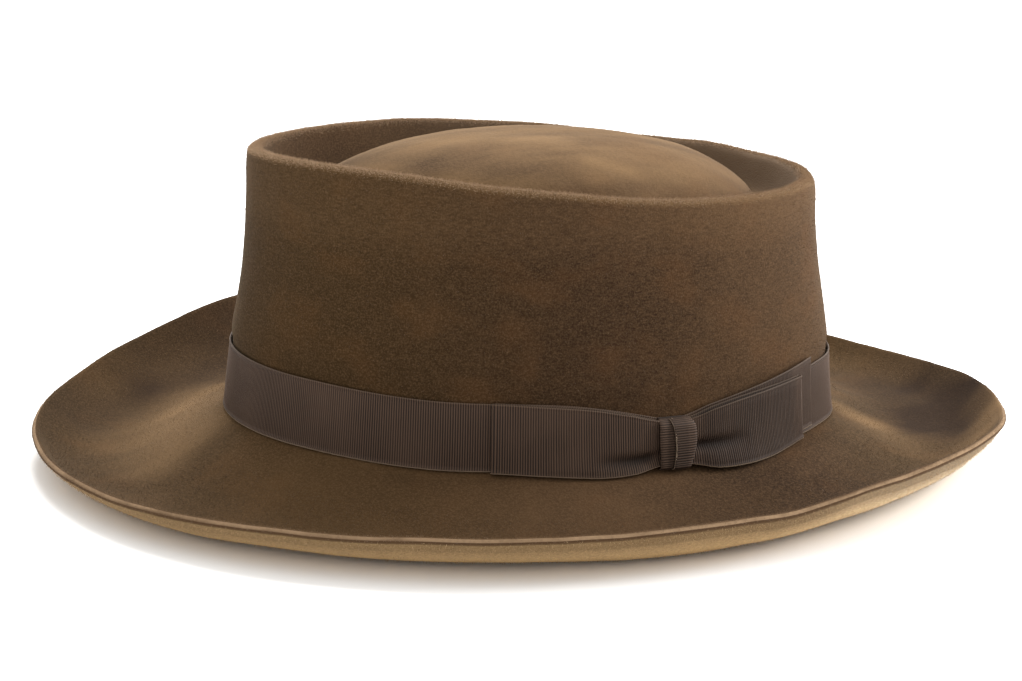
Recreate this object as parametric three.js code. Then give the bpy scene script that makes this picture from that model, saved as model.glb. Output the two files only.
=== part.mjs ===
// A gambler hat: one felt shell for crown and brim, a grosgrain band and a flat bow on its left side.
// Millimetres, +Z up. The front of the hat looks along -Y, the wearer's left side is +X.
import * as THREE from "three";

// Felt
const FELT = 2.2; // thickness of the felt
const STATIONS = 60; // sections round the hat
const BRIM_HALF_LENGTH = 162.4; // half of the brim's oval, front to back
const BRIM_HALF_WIDTH = 146.5; // half of the brim's oval, side to side
const BRIM_OVAL = 2.03; // exponent of the brim's oval, 2 is an ellipse
const BRIM_FALL = -0.3; // slope of the brim where it leaves the crown
const CROWN_BACK = 3.4; // the crown's middle lies this far behind the brim's
const CROWN_OVAL = 2.04; // exponent of the crown's ovals
const CROWN_EGG = 0.02; // the crown is this much wider behind and narrower in front

// The crown's rim, its crease and the dome inside it
const LIP = 3.1; // radius of the fold round the crown's rim
const CREASE_LEAN = 1.5; // the crease's outer wall leans in by this much
const CREASE_DEPTH = 4.5; // the bottom of the crease below the dome's foot
const DOME = { length: 78.8, width: 60.4, back: 0.5, foot: 83.7, height: 21.9 };
const DOME_SIDE = 2.887; // how square the dome's shoulder is
const DOME_TOP = 1.235; // how pointed its top is
const DOME_TILT = { back: -0.027, left: 0.036 };

// Where the felt's profile has its points
const BRIM_PARTS = [0, 0.05, 0.12, 0.22, 0.34, 0.48, 0.64, 0.82, 0.985]; // from the edge to the break
const LIP_ANGLES = [40, 90, 140, 180]; // over the rim's fold
const CREASE_ANGLES = [0, 50, 90, 130, 180]; // through the bottom of the crease
const DOME_SHARES = [0.14, 0.32, 0.52, 0.7, 0.84, 0.94, 0.985]; // of the dome's height

// Ribbon
const GAP = 0.3; // air between two pieces that touch
const RIBBON = 1; // thickness of the ribbon
const BAND_LOW = 0.8; // lower edge of the band above the break
const BAND_HIGH = 22.3; // upper edge of the band above the break
const BOW_MIDDLE = 2.2; // the knot's middle, behind the hat's left side point
const PINCH = { depth: 5, reach: 22 }; // how the knot gathers the band under it

// The hat's outline by sections, at every 30 degrees from the left side, turning to the back.
// edge: height of the brim's edge. curl: slope of the brim at its edge.
// foot: height of the break between brim and crown. rim: height of the crown's rim.
const SECTIONS = [
  { turn: 0, edge: 15.1, curl: 1.35, foot: 13.4, rim: 96.6 },
  { turn: 30, edge: 18.5, curl: 1.46, foot: 12.5, rim: 93.5 },
  { turn: 60, edge: 14.0, curl: 1.36, foot: 12.7, rim: 92.1 },
  { turn: 90, edge: 10.2, curl: 1.15, foot: 12.7, rim: 90.8 },
  { turn: 120, edge: 11.6, curl: 0.99, foot: 13.0, rim: 90.6 },
  { turn: 150, edge: 20.7, curl: 1.01, foot: 13.8, rim: 93.7 },
  { turn: 180, edge: 28.4, curl: 1.16, foot: 14.7, rim: 98.1 },
  { turn: 210, edge: 20.6, curl: 1.26, foot: 16.0, rim: 100.3 },
  { turn: 240, edge: 12.6, curl: 1.22, foot: 16.9, rim: 102.1 },
  { turn: 270, edge: 10.8, curl: 1.09, foot: 17.5, rim: 104.6 },
  { turn: 300, edge: 12.5, curl: 1.04, foot: 16.9, rim: 105.6 },
  { turn: 330, edge: 13.9, curl: 1.15, foot: 15.7, rim: 102.0 },
];

// The crown's wall, row by row. rise: height above the break. front, side, back: reach of the felt.
// The rows from the band's top upwards spread evenly to the rim of each section.
const WALL = [
  { rise: 0, front: 105.0, side: 85.9, back: 102.0 },
  { rise: 0.8, front: 104.9, side: 85.9, back: 101.9 },
  { rise: 12, front: 104.0, side: 85.4, back: 100.6 },
  { rise: 22.5, front: 102.1, side: 85.0, back: 99.7 },
  { rise: 25, front: 103.4, side: 85.6, back: 101.0 },
  { rise: 34, front: 101.4, side: 84.5, back: 99.0 },
  { rise: 45, front: 98.9, side: 84.0, back: 97.0 },
  { rise: 56, front: 98.0, side: 83.5, back: 95.2 },
  { rise: 67, front: 97.2, side: 83.1, back: 94.2 },
  { rise: 79.9, front: 97.3, side: 82.5, back: 93.7 },
];
const SPREAD_FROM = 25; // the row above the band, from which the wall spreads to the rim

// The bow's loops, row by row away from the knot.
// along: distance from the knot's middle. low, high: the edges above the break.
// out: how far the outer layer stands off the felt; flare: how much further its lower edge stands.
const FRONT_LOOP = [
  { along: 1, low: 1.6, high: 15.0, out: 4.6, flare: 0 },
  { along: 7, low: 0.9, high: 15.8, out: 4.9, flare: 0.2 },
  { along: 14, low: -0.3, high: 17.6, out: 5.5, flare: 1.2 },
  { along: 25, low: -0.9, high: 19.6, out: 5.4, flare: 1.5 },
  { along: 41, low: -0.4, high: 21.0, out: 4.8, flare: 0.9 },
  { along: 55.5, low: 0.5, high: 22.1, out: 4.2, flare: 0 },
];
const REAR_LOOP = [
  { along: 1, low: 1.6, high: 15.0, out: 5.6, flare: 0 },
  { along: 7, low: 0.7, high: 15.8, out: 5.8, flare: 0.2 },
  { along: 14, low: -0.7, high: 17.8, out: 6.4, flare: 1.8 },
  { along: 24, low: -1.0, high: 19.4, out: 6.4, flare: 2.8 },
  { along: 36, low: -0.8, high: 20.4, out: 6.0, flare: 2.2 },
  { along: 48, low: 0.0, high: 20.9, out: 5.5, flare: 0.8 },
  { along: 57, low: 0.6, high: 21.2, out: 5.3, flare: 0 },
];
// The flat layer under the rear loop, a little longer and higher than the loop.
const UNDER_LAYER = [
  { along: 1, low: 2.2, high: 15.2 },
  { along: 14, low: 1.8, high: 18.6 },
  { along: 30, low: 1.6, high: 21.2 },
  { along: 48, low: 1.9, high: 23.6 },
  { along: 65, low: 2.3, high: 25.2 },
];
// Pleat in a loop's outer layer. across: part of the loop's width. sink: part of the pleat's depth.
const PLEAT = [
  { across: 0, sink: 0 },
  { across: 0.17, sink: -0.2 },
  { across: 0.32, sink: 1 },
  { across: 0.48, sink: -0.3 },
  { across: 0.75, sink: -0.4 },
  { across: 1, sink: 0 },
];
const PLEAT_DEPTH = 0.8; // at the knot
const PLEAT_REACH = 24; // the pleat fades out this far from the knot's middle
const LAYER_LOW = 0.4; // no lower edge next to the wall hangs below this height above the break
const ROW_STEP = 6.5; // the longest straight stretch of a layer along the wall
const FOLD_REACH = 1.6; // a loop's fold bulges past its last row by this much

// The knot, a strip wrapped over the bow from its top to its bottom.
// rise: height above the break. out: off the felt. ahead, behind: its edges from the knot's middle.
const KNOT = [
  { rise: 17.2, out: 1.9, ahead: 5.2, behind: 5.2 },
  { rise: 18.2, out: 3.2, ahead: 5.0, behind: 5.2 },
  { rise: 18.2, out: 5.4, ahead: 5.0, behind: 5.2 },
  { rise: 17.0, out: 7.3, ahead: 5.4, behind: 5.3 },
  { rise: 12.0, out: 7.6, ahead: 5.6, behind: 5.2 },
  { rise: 6.0, out: 7.6, ahead: 5.4, behind: 4.4 },
  { rise: 1.2, out: 7.3, ahead: 5.2, behind: 3.2 },
  { rise: 0.1, out: 6.0, ahead: 5.1, behind: 2.8 },
];

const FELT_BROWN = 0x5c4630;
const RIBBON_BROWN = 0x43382f;

const rad = THREE.MathUtils.degToRad;
const { lerp } = THREE.MathUtils;

// A cosine or sine drawn out to a superellipse's.
function blunt(value, exponent) {
  return Math.sign(value) * Math.abs(value) ** (2 / exponent);
}

// Between the second and the third of four values in a row, on a smooth curve through all four.
function smooth(a, b, c, d, t) {
  return b + 0.5 * t * (c - a + t * (2 * a - 5 * b + 4 * c - d + t * (3 * (b - c) + d - a)));
}

// A column of the section table at any turn, on a closed curve through its rows.
function section(column, turn) {
  const step = 360 / SECTIONS.length;
  const place = (((turn % 360) + 360) % 360) / step;
  const row = Math.floor(place);
  const at = (k) => SECTIONS[(row + k + SECTIONS.length) % SECTIONS.length][column];
  return smooth(at(-1), at(0), at(1), at(2), place - row);
}

// A bow table with rows added on smooth curves, so that it bends with the wall.
function finer(table) {
  const rows = [];
  for (let k = 0; k < table.length - 1; k++) {
    const parts = Math.ceil((table[k + 1].along - table[k].along) / ROW_STEP);
    for (let part = 0; part < parts; part++) {
      const four = [k - 1, k, k + 1, k + 2].map((n) => table[THREE.MathUtils.clamp(n, 0, table.length - 1)]);
      const columns = Object.keys(table[k]).map((name) => {
        const along = name === "along" ? lerp(four[1][name], four[2][name], part / parts) : null;
        return [name, along ?? smooth(...four.map((row) => row[name]), part / parts)];
      });
      rows.push(Object.fromEntries(columns));
    }
  }
  return [...rows, table.at(-1)];
}

// A crown oval at its own reaches, in plan.
function crownOval(turn, front, side, back) {
  const across = blunt(Math.cos(rad(turn)), CROWN_OVAL);
  const length = blunt(Math.sin(rad(turn)), CROWN_OVAL);
  const x = side * across * (1 + CROWN_EGG * length);
  const y = (length > 0 ? back : front) * length + CROWN_BACK;
  return new THREE.Vector2(x, y);
}

// The wall's reaches at a rise, between the rows of its table.
function wallReach(rise) {
  const above = WALL.findIndex((row) => row.rise >= rise);
  const high = WALL[above < 0 ? WALL.length - 1 : Math.max(above, 1)];
  const low = WALL[WALL.indexOf(high) - 1];
  const t = (rise - low.rise) / (high.rise - low.rise);
  return ["front", "side", "back"].map((side) => lerp(low[side], high[side], t));
}

// A point on the crown's wall, or off it by out.
function onWall(turn, rise, out = 0) {
  const [front, side, back] = wallReach(rise);
  const plan = crownOval(turn, front + out, side + out, back + out);
  const foot = section("foot", turn);
  const top = WALL.at(-1).rise;
  const spread = section("rim", turn) - LIP - foot - SPREAD_FROM;
  const z = rise <= SPREAD_FROM ? rise : SPREAD_FROM + ((rise - SPREAD_FROM) / (top - SPREAD_FROM)) * spread;
  return new THREE.Vector3(plan.x, plan.y, foot + z);
}

// A point over the band, or straight above it where a layer of the bow is wider than the band.
function overBand(turn, rise, out) {
  return onWall(turn, Math.min(rise, BAND_HIGH), out).setZ(section("foot", turn) + rise);
}

// The turn at a distance round the wall from the hat's left side point.
function turnAt(distance) {
  const step = Math.sign(distance) * 0.25;
  let turn = 0;
  let left = Math.abs(distance);
  while (left > 0) {
    left -= onWall(turn, WALL[2].rise).setZ(0).distanceTo(onWall(turn + step, WALL[2].rise).setZ(0));
    turn += step;
  }
  return turn;
}

// The brim from its edge to the break, on a cubic that starts at BRIM_FALL and ends at the curl's slope.
function brimPoint(turn, part) {
  const x = BRIM_HALF_WIDTH * blunt(Math.cos(rad(turn)), BRIM_OVAL);
  const y = BRIM_HALF_LENGTH * blunt(Math.sin(rad(turn)), BRIM_OVAL);
  const edge = new THREE.Vector3(x, y, section("edge", turn));
  const foot = onWall(turn, 0);
  const width = Math.hypot(edge.x - foot.x, edge.y - foot.y);
  const t = 1 - part;
  const z =
    foot.z * (1 + 2 * t) * part ** 2 +
    edge.z * t ** 2 * (3 - 2 * t) +
    BRIM_FALL * width * t * part ** 2 -
    section("curl", turn) * width * t ** 2 * part;
  return new THREE.Vector3(lerp(edge.x, foot.x, part), lerp(edge.y, foot.y, part), z);
}

// The dome at a share of its own height.
function domePoint(turn, share) {
  const reach = (1 - share ** DOME_TOP) ** (1 / DOME_SIDE);
  const x = DOME.width * Math.cos(rad(turn)) * reach;
  const y = DOME.length * Math.sin(rad(turn)) * reach;
  const z = DOME.foot + DOME.height * share + DOME_TILT.back * y + DOME_TILT.left * x;
  return new THREE.Vector3(x, y + DOME.back, z);
}

// The felt's outer face at one station, from the brim's edge over the rim to the dome's top.
function feltProfile(turn) {
  const points = BRIM_PARTS.map((part) => brimPoint(turn, part));
  for (const row of WALL.slice(1)) points.push(onWall(turn, row.rise));

  const outer = points.at(-1);
  const inward = new THREE.Vector3(-outer.x, CROWN_BACK - outer.y, 0).normalize();
  for (const angle of LIP_ANGLES) {
    const over = outer.clone().addScaledVector(inward, LIP * (1 - Math.cos(rad(angle))));
    points.push(over.setZ(outer.z + LIP * Math.sin(rad(angle))));
  }

  const domeFoot = domePoint(turn, 0);
  const creaseTop = points.at(-1).clone().addScaledVector(inward, CREASE_LEAN).setZ(domeFoot.z);
  for (const angle of CREASE_ANGLES) {
    const across = (1 - Math.cos(rad(angle))) / 2;
    const point = creaseTop.clone().lerp(domeFoot, across);
    points.push(point.setZ(domeFoot.z - CREASE_DEPTH * Math.sin(rad(angle))));
  }
  for (const share of DOME_SHARES) points.push(domePoint(turn, share));
  return points;
}

// Triangles over a grid of points, whose rows run round or along the piece.
function skin(rows, closed) {
  const width = rows[0].length;
  const index = [];
  for (let i = 0; i < rows.length - (closed ? 0 : 1); i++) {
    const next = (i + 1) % rows.length;
    for (let j = 0; j < width - 1; j++) {
      const [a, b, c, d] = [i * width + j, next * width + j, next * width + j + 1, i * width + j + 1];
      index.push(a, b, c, a, c, d);
    }
  }
  return { points: rows.flat(), index };
}

// A skin closed over its last row with one point.
function capped({ points, index }, width, tip) {
  const count = points.length;
  for (let i = 0; i < count; i += width) {
    index.push(i + width - 1, ((i + width) % count) + width - 1, count);
  }
  return { points: [...points, tip], index };
}

// A skin made a closed wall: a second face behind it, and faces round every open edge.
// What would reach below rest is pressed up to it, with the wall's thickness kept.
function wall({ points, index }, thickness, rest = -Infinity) {
  const front = new THREE.BufferGeometry().setFromPoints(points).setIndex(index);
  front.computeVertexNormals();
  const normals = front.getAttribute("normal");
  const behind = points.map((point, k) => {
    const normal = new THREE.Vector3().fromBufferAttribute(normals, k);
    return point.clone().addScaledVector(normal, -thickness);
  });
  const lifts = behind.map((point) => Math.max(0, rest - point.z));
  const all = [...points, ...behind].map((point, k) => {
    const lift = lifts[k % points.length];
    return lift > 0 ? new THREE.Vector3(point.x, point.y, point.z + lift) : point;
  });

  const count = points.length;
  const faces = [...index];
  const edges = new Set();
  for (let k = 0; k < index.length; k += 3) {
    const [a, b, c] = index.slice(k, k + 3);
    faces.push(count + a, count + c, count + b);
    for (const [from, to] of [[a, b], [b, c], [c, a]]) edges.add(`${from} ${to}`);
  }
  for (const edge of edges) {
    const [from, to] = edge.split(" ").map(Number);
    if (!edges.has(`${to} ${from}`)) faces.push(to, from, count + from, to, count + from, count + to);
  }
  return new THREE.BufferGeometry().setFromPoints(all).setIndex(faces);
}

// Felt crown and brim.
function feltBody() {
  const rows = [];
  for (let i = 0; i < STATIONS; i++) rows.push(feltProfile((360 / STATIONS) * i));
  const body = capped(skin(rows, true), rows[0].length, domePoint(0, 1));
  return wall(body, FELT, 0);
}

// The band's upper edge, lower where the knot gathers it.
function bandTop(turn) {
  const knot = turnAt(BOW_MIDDLE);
  const near = ((turn - knot + 540) % 360) - 180;
  const distance = rad(near) * WALL[2].front;
  return BAND_HIGH - PINCH.depth * Math.exp(-((distance / PINCH.reach) ** 2));
}

function bandRibbon() {
  const rows = [];
  for (let i = 0; i < STATIONS; i++) {
    const turn = (360 / STATIONS) * i;
    const rises = [BAND_LOW, WALL[2].rise, bandTop(turn)];
    rows.push(rises.map((rise) => onWall(turn, rise, GAP + RIBBON)));
  }
  return wall(skin(rows, true), RIBBON);
}

// One row across a layer of the bow. side is -1 towards the front and 1 towards the back.
function bowRow(row, side, outAt) {
  const turn = turnAt(BOW_MIDDLE + side * row.along);
  return PLEAT.map((column) => {
    return overBand(turn, lerp(row.low, row.high, column.across), outAt(column, row));
  });
}

// The outer layer of a loop stands off with its row, flares below and sinks into its pleat.
function facingOut({ across, sink }, row) {
  const pleat = PLEAT_DEPTH * Math.max(0, 1 - row.along / PLEAT_REACH);
  return row.out + row.flare * (1 - across) ** 2 - pleat * sink;
}

// A loop over some layers: along the wall, round its fold and back to the knot.
function bowLoop(sections, side, layers) {
  const table = finer(sections);
  const inner = GAP + layers * (GAP + RIBBON);
  const against = table.map((row) => {
    return bowRow({ ...row, low: Math.max(row.low, LAYER_LOW) }, side, () => inner);
  });
  const fold = table.at(-1);
  const bend = { ...fold, along: fold.along + FOLD_REACH, out: (inner + fold.out) / 2 };
  const facing = table.map((row) => bowRow(row, side, facingOut));
  const rows = [...against, bowRow(bend, side, facingOut), ...facing.reverse()];
  return wall(skin(side > 0 ? rows.reverse() : rows, false), RIBBON);
}

function underLayer() {
  const rows = finer(UNDER_LAYER).map((row) => bowRow(row, 1, () => 2 * (GAP + RIBBON)));
  return wall(skin(rows, false), RIBBON);
}

function bowKnot() {
  const rows = KNOT.map(({ rise, out, ahead, behind }) =>
    [-ahead, 0, behind].map((along) => onWall(turnAt(BOW_MIDDLE + along), rise, out)),
  );
  return wall(skin(rows, false), RIBBON);
}

function piece(name, geometry, colour, roughness) {
  const material = new THREE.MeshStandardMaterial({ color: colour, roughness, metalness: 0 });
  const mesh = new THREE.Mesh(geometry, material);
  mesh.name = name;
  return mesh;
}

const hat = new THREE.Group();
hat.add(piece("felt_body", feltBody(), FELT_BROWN, 0.95));
hat.add(piece("band_ribbon", bandRibbon(), RIBBON_BROWN, 0.8));
hat.add(piece("bow_under_layer", underLayer(), RIBBON_BROWN, 0.8));
hat.add(piece("bow_front_loop", bowLoop(FRONT_LOOP, -1, 1), RIBBON_BROWN, 0.8));
hat.add(piece("bow_rear_loop", bowLoop(REAR_LOOP, 1, 2), RIBBON_BROWN, 0.8));
hat.add(piece("bow_knot", bowKnot(), RIBBON_BROWN, 0.8));

// The origin goes to the middle of the box that the hat fills, at the surface that it rests on.
const box = new THREE.Box3().setFromObject(hat);
const middle = box.getCenter(new THREE.Vector3());
hat.position.set(-middle.x, -middle.y, -box.min.z);

export default hat;
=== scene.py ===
# %% [markdown]
# A gambler hat: felt body, ribbon band and flat bow
#
# The frame of the part is loaded first. Every piece below is measured from its nodes, so that
# nothing has to be fitted by eye.

# %% The frame
import bisect
import math

import bpy
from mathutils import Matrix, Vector
from mathutils.bvhtree import BVHTree


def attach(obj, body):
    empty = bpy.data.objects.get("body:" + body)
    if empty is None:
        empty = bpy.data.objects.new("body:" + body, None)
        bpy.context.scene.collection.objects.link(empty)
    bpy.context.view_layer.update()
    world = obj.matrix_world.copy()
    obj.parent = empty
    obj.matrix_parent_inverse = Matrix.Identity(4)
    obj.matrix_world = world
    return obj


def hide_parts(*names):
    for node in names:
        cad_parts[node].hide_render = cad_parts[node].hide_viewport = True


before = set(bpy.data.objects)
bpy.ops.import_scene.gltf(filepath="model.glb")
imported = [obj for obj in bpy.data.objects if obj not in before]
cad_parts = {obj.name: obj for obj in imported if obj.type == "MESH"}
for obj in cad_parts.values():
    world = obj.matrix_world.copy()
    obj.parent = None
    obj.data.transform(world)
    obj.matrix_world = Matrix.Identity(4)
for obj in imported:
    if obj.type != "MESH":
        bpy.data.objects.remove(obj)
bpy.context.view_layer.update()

MM = 0.001

# %% [markdown]
# Taking hold of a piece
#
# The hat is made with Blender's own operators, as by hand. An operator acts on all that is
# selected, and the frame's nodes come in selected. So each step first lets go of everything,
# and then takes hold of its own piece.

# %% Selecting
def clear_selection():
    bpy.ops.object.select_all(action="DESELECT")


def take(piece):
    """Makes a piece the only selected one, and the active one."""
    clear_selection()
    piece.select_set(True)
    bpy.context.view_layer.objects.active = piece


clear_selection()
print("still selected:", len(bpy.context.selected_objects))

# %% [markdown]
# Camera
#
# The hat was photographed with a long lens from a little above the brim, three quarters from
# the front of the wearer's left side. The place and the angles come from solving the ovals of
# the brim and crown. The standard view transform keeps a white floor white.

# %% Camera
CAMERA_PLACE = (0.79886, -0.41655, 0.25518)  # in m
CAMERA_ANGLES = (76.247, -0.492, 62.907)  # in degrees
LENS, SENSOR_WIDTH = 97.97, 36  # in mm
NEAREST = 0.05  # in m, nothing nearer is drawn

bpy.ops.object.camera_add(
    location=CAMERA_PLACE, rotation=[math.radians(angle) for angle in CAMERA_ANGLES]
)
camera = bpy.context.object
camera.data.sensor_width = SENSOR_WIDTH
camera.data.lens = LENS
camera.data.clip_start = NEAREST
bpy.context.scene.camera = camera
bpy.context.scene.view_settings.view_transform = "Standard"
print("camera stands", round(camera.location.length, 3), "m from the hat's foot")

# %% [markdown]
# Floor
#
# The hat rests on a plain pale floor, large enough to fill the view. The floor lies a little
# under the hat's lowest face, because two faces in one place flicker.

# %% Floor
FLOOR_SIZE = 14  # in m
FLOOR_GAP = 0.2 * MM

clear_selection()
bpy.ops.mesh.primitive_plane_add(size=FLOOR_SIZE, location=(0, 0, -FLOOR_GAP))
floor = bpy.context.object
floor.name = "floor"
print("floor:", FLOOR_SIZE, "m wide")


# %% [markdown]
# Shader maths
#
# A pattern is a sum of noises and masks, and that reads best as plain arithmetic. Wire holds
# one output of a node, and a sum or product of wires adds the Math node that works it out.
# Every other node comes from Wire.node: its type, its settings, and its sockets' values.

# %% A wire between nodes
class Wire:
    def __init__(self, tree, socket=None):
        self.tree, self.socket = tree, socket

    def node(self, kind, settings={}, sockets={}, out=0):
        made = self.tree.nodes.new(kind)
        for name, value in settings.items():
            setattr(made, name, value)
        for name, value in sockets.items():
            if isinstance(value, Wire):
                self.tree.links.new(value.socket, made.inputs[name])
            else:
                made.inputs[name].default_value = value
        return Wire(self.tree, made.outputs[out] if made.outputs else None)

    def maths(self, operation, *values, clamp=False):
        settings = {"operation": operation, "use_clamp": clamp}
        return self.node("ShaderNodeMath", settings, dict(enumerate(values)))

    def __add__(self, other):
        return self.maths("ADD", self, other)

    def __sub__(self, other):
        return self.maths("SUBTRACT", self, other)

    def __rsub__(self, other):
        return self.maths("SUBTRACT", other, self)

    def __mul__(self, other):
        return self.maths("MULTIPLY", self, other)

    def __truediv__(self, other):
        return self.maths("DIVIDE", self, other)

    def __pow__(self, other):
        return self.maths("POWER", self, other)

    __radd__ = __add__
    __rmul__ = __mul__

    def clamped(self):
        return self.maths("ADD", self, 0, clamp=True)

    def between(self, low, high):
        """A mask that rises smoothly from 0 at low to 1 at high."""
        return self.node(
            "ShaderNodeMapRange",
            {"interpolation_type": "SMOOTHSTEP", "clamp": True},
            {"Value": self, "From Min": low, "From Max": high},
        )

    def mixed(self, first, second):
        """The first colour where this mask is 0, the second where it is 1."""
        settings = {"data_type": "RGBA", "clamp_factor": True}
        return self.node("ShaderNodeMix", settings, {0: self, 6: first, 7: second}, out=2)

    def noise(self, scale, detail=2, stretch=(1, 1, 1)):
        """Noise on these coordinates, from 0 to 1."""
        place = self.node("ShaderNodeVectorMath", {"operation": "MULTIPLY"}, {0: self, 1: stretch})
        return self.node(
            "ShaderNodeTexNoise", {}, {"Vector": place, "Scale": scale, "Detail": detail}
        )

    def part(self, axis):
        """One number of a vector: 0 is x, 1 is y, 2 is z."""
        return self.node("ShaderNodeSeparateXYZ", {}, {"Vector": self}, out=axis)


print("named tools of a wire:", [name for name in vars(Wire) if not name.startswith("_")])

# %% [markdown]
# A material starts as Blender's Principled shader. What is the same all over a surface, such
# as its sheen, is set on the shader's own sockets. Only what changes over it is wired in.

# %% A material and its plugs
def new_material(name, **constants):
    """An empty Principled material: the start of its wires, and its shader."""
    material = bpy.data.materials.new(name)
    material.use_nodes = True
    shader = material.node_tree.nodes["Principled BSDF"]
    for socket, value in constants.items():
        shader.inputs[socket.replace("_", " ")].default_value = value
    return material, Wire(material.node_tree), shader


def plug(board, shader, **wires):
    for socket, wire in wires.items():
        board.tree.links.new(wire.socket, shader.inputs[socket.replace("_", " ")])
    print("nodes in the finished material:", len(board.tree.nodes))


# %% [markdown]
# The felt
#
# A felt hat is one piece: a cone of felted fur is steamed, pulled over a block for the crown,
# and its brim is flanged up at the edge. The frame already holds that form as a wall of felt,
# so there is no need to model it twice. Its mesh is loose triangles, so a copy is merged and
# turned into quads.

# %% Felt: a copy of the frame's wall
SAME_PLACE = 0.01 * MM
QUAD_ANGLE = math.radians(60)


def merged_copy(node, name):
    """A copy of a node of the frame, merged and in quads."""
    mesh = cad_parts[node].data.copy()
    mesh.name = name
    mesh.materials.clear()
    piece = bpy.data.objects.new(name, mesh)
    bpy.context.scene.collection.objects.link(piece)
    take(piece)
    bpy.ops.object.mode_set(mode="EDIT")
    bpy.ops.mesh.select_all(action="SELECT")
    bpy.ops.mesh.remove_doubles(threshold=SAME_PLACE)
    bpy.ops.mesh.tris_convert_to_quads(face_threshold=QUAD_ANGLE, shape_threshold=QUAD_ANGLE)
    bpy.ops.object.mode_set(mode="OBJECT")
    if mesh.has_custom_normals:
        bpy.ops.mesh.customdata_custom_splitnormals_clear()
    return piece


felt = merged_copy("felt_body", "felt")
print("felt after merging:", len(felt.data.vertices), "points,", len(felt.data.polygons), "faces")

# %% [markdown]
# The brim's edge is cut and stays firm, while all the rest of the felt is soft and round. Both
# corners of the cut are found by their angle, far out on the brim, and creased in part. Then
# subdivision rounds the felt, and rounds the cut edge less than the rest.

# %% Felt: smooth, with a firm cut edge
BRIM_HALF_WIDTH, BRIM_HALF_LENGTH = 146.5 * MM, 162.4 * MM
SHARP_ANGLE = math.radians(55)
CUT_SHARE = 0.975
CREASE = 0.62
SUBDIVISIONS = 2


def brim_share(point):
    """1 at the edge of the brim, less towards the crown."""
    return math.hypot(point.x / BRIM_HALF_WIDTH, point.y / BRIM_HALF_LENGTH)


def finish_with(piece, kind, **settings):
    """Adds a modifier with its settings and applies it."""
    take(piece)
    modifier = piece.modifiers.new(kind.lower(), kind)
    for name, value in settings.items():
        setattr(modifier, name, value)
    bpy.ops.object.modifier_apply(modifier=modifier.name)


take(felt)
bpy.ops.object.mode_set(mode="EDIT")
bpy.ops.mesh.select_mode(type="EDGE")
bpy.ops.mesh.select_all(action="DESELECT")
bpy.ops.mesh.edges_select_sharp(sharpness=SHARP_ANGLE)
bpy.ops.object.mode_set(mode="OBJECT")
creased = 0
for edge in felt.data.edges:
    ends = [felt.data.vertices[i].co for i in edge.vertices]
    edge.select = edge.select and min(map(brim_share, ends)) > CUT_SHARE
    creased += edge.select
bpy.ops.object.mode_set(mode="EDIT")
bpy.ops.transform.edge_crease(value=CREASE)
bpy.ops.object.mode_set(mode="OBJECT")
finish_with(felt, "SUBSURF", levels=SUBDIVISIONS, render_levels=SUBDIVISIONS)
print("creased edges:", creased, "- smooth felt:", len(felt.data.polygons), "faces")

# %% [markdown]
# A hat that has been worn has given a little in places. The break between brim and crown has
# sunk at the back and beside the bow. The brim's edge has small waves, the crown's rim dips and
# rises at the back, and a faint groove runs along the crown under its rim. Each is a place, how
# it has moved, and how far around it the felt follows.

# %% Felt: the places that have given
def give(spot, move, reach):
    """A place of the felt and how it has moved, all in mm."""
    return Vector(spot) * MM, Vector(move) * MM, reach * MM


SINKS = [give((34, 97, 13), (0, 0, -2.6), 44), give((66, -62, 16), (0, 0, -1.5), 46)]
EDGE_WAVE = [
    give((142.5, 15, 8.8), (0, 0, -0.9), 18), give((139.5, 41, 11), (0, 0, 0.8), 18),
    give((30, 158, 11), (0, 0, 1.7), 44), give((-69, -143, 12), (-0.2, -0.6, 1.3), 40),
    give((-50, -153, 10.5), (-0.4, -0.7, -0.1), 26), give((-137, -56, 23), (0, 0, 1.5), 46),
]
RIM_WAVE = [give((39, 84, 91.5), (0.2, 0.3, -1.4), 21), give((-33, 85, 89.6), (0, 0, 1.0), 27)]
GROOVE = [
    give((77.7, -29, 90), (-0.5, 0.2, 0), 11), give((81, -14, 86.5), (-0.5, 0.1, 0), 12),
    give((82.5, 2, 84.3), (-0.5, 0, 0), 12), give((81.5, 20, 84), (-0.4, 0, 0), 12),
]
print("places that have given:", len(SINKS + EDGE_WAVE + RIM_WAVE + GROOVE))

# %% [markdown]
# A push takes hold of the felt at its nearest point and moves it, and the felt around follows
# less and less, as in proportional editing by hand. That is enough here: a blocked felt is
# stiff, so it bends widely and doesn't fold. What it stands on stays flat.

# %% Felt: pushing
def push(piece, spot, move, reach):
    """Moves a piece's nearest point, and all within reach less and less."""
    nearest = min(piece.data.vertices, key=lambda vertex: (vertex.co - spot).length).index
    take(piece)
    bpy.ops.object.mode_set(mode="EDIT")
    bpy.ops.mesh.select_mode(type="VERT")
    bpy.ops.mesh.select_all(action="DESELECT")
    bpy.ops.object.mode_set(mode="OBJECT")
    piece.data.vertices[nearest].select = True
    bpy.ops.object.mode_set(mode="EDIT")
    bpy.ops.transform.translate(
        value=move, use_proportional_edit=True,
        proportional_edit_falloff="SMOOTH", proportional_size=reach,
    )
    bpy.ops.object.mode_set(mode="OBJECT")


def rest_on_floor(piece):
    for vertex in piece.data.vertices:
        vertex.co.z = max(vertex.co.z, 0)


def sunk(point):
    """How far the sinks have taken a point down, as the smooth falloff does."""
    total = 0
    for spot, move, reach in SINKS:
        near = max(0, 1 - (point - spot).length / reach)
        total -= move.z * near * near * (3 - 2 * near)
    return total


for spot, move, reach in SINKS + EDGE_WAVE + RIM_WAVE + GROOVE:
    push(felt, spot, move, reach)
rest_on_floor(felt)
print("felt sinks by", round(sunk(SINKS[0][0]) / MM, 1), "mm at the back")

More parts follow.
